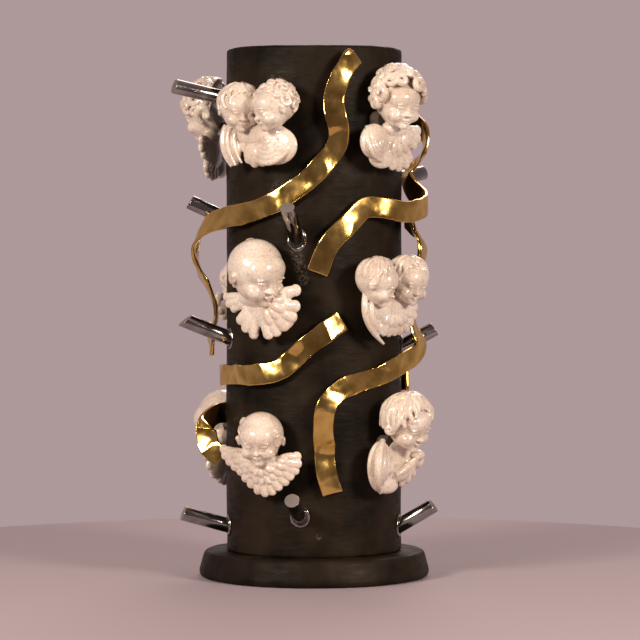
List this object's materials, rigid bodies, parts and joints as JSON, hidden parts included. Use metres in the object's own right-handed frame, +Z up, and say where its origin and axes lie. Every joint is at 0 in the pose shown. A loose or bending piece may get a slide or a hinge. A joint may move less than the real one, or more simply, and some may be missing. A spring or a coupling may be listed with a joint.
{
  "type": "clay tree of life",
  "caption": "Free-standing black clay trunk on a round plate, set with glazed winged cherub heads, gold-lustre ribbons and platinum-lustre rods.",
  "frame": {"origin": "middle of the plate's underside, which rests on the table", "axes": "+Z up along the trunk's axis; -Y towards the front, which shows three pairs of cherub groups; +X to the right of someone who faces it"},
  "size_m": [0.2422, 0.2492, 0.48],
  "materials": {
    "black_clay": "satin, dark smoke-fired clay with fine tool marks",
    "crackle_glaze": "glossy warm white glaze with a fine brown-grey craquelure",
    "gold_lustre": "mirror-bright gold lustre over glaze, slightly rippled",
    "platinum_lustre": "mirror-bright platinum lustre over glaze, matt cut ends",
    "stub_clay": "matt bare clay"
  },
  "bodies": {
    "root": {"base_plate": "black_clay", "trunk": "black_clay", "cherub_upper_front_left": "crackle_glaze", "cherub_upper_front_right": "crackle_glaze", "cherub_upper_back_left": "crackle_glaze", "cherub_upper_back": "crackle_glaze", "cherub_middle_front_left": "crackle_glaze", "cherub_middle_front_right": "crackle_glaze", "cherub_middle_back_left": "crackle_glaze", "cherub_middle_back": "crackle_glaze", "cherub_lower_front_left": "crackle_glaze", "cherub_lower_front_right": "crackle_glaze", "cherub_lower_back_left": "crackle_glaze", "cherub_lower_back": "crackle_glaze", "peg_upper_front_left": "stub_clay", "peg_upper_front_right": "stub_clay", "peg_upper_back_left": "stub_clay", "peg_upper_back": "stub_clay", "peg_middle_front_left": "stub_clay", "peg_middle_front_right": "stub_clay", "peg_middle_back_left": "stub_clay", "peg_middle_back": "stub_clay", "peg_lower_front_left": "stub_clay", "peg_lower_front_right": "stub_clay", "peg_lower_back_left": "stub_clay", "peg_lower_back": "stub_clay", "rod_upper_left": "platinum_lustre", "rod_upper_back_right": "platinum_lustre", "rod_high_left": "platinum_lustre", "rod_high_front": "platinum_lustre", "rod_high_back": "platinum_lustre", "rod_middle_left": "platinum_lustre", "rod_middle_right": "platinum_lustre", "rod_middle_back": "platinum_lustre", "rod_foot_left": "platinum_lustre", "rod_foot_front": "platinum_lustre", "rod_foot_right": "platinum_lustre", "rod_foot_back": "platinum_lustre", "ribbon_crown": "gold_lustre", "ribbon_upper_right": "gold_lustre", "ribbon_lower_right": "gold_lustre", "ribbon_middle_left": "gold_lustre", "ribbon_lower_left": "gold_lustre", "ribbon_lower_back": "gold_lustre", "ribbon_high_back": "gold_lustre"}
  },
  "joints": []
}
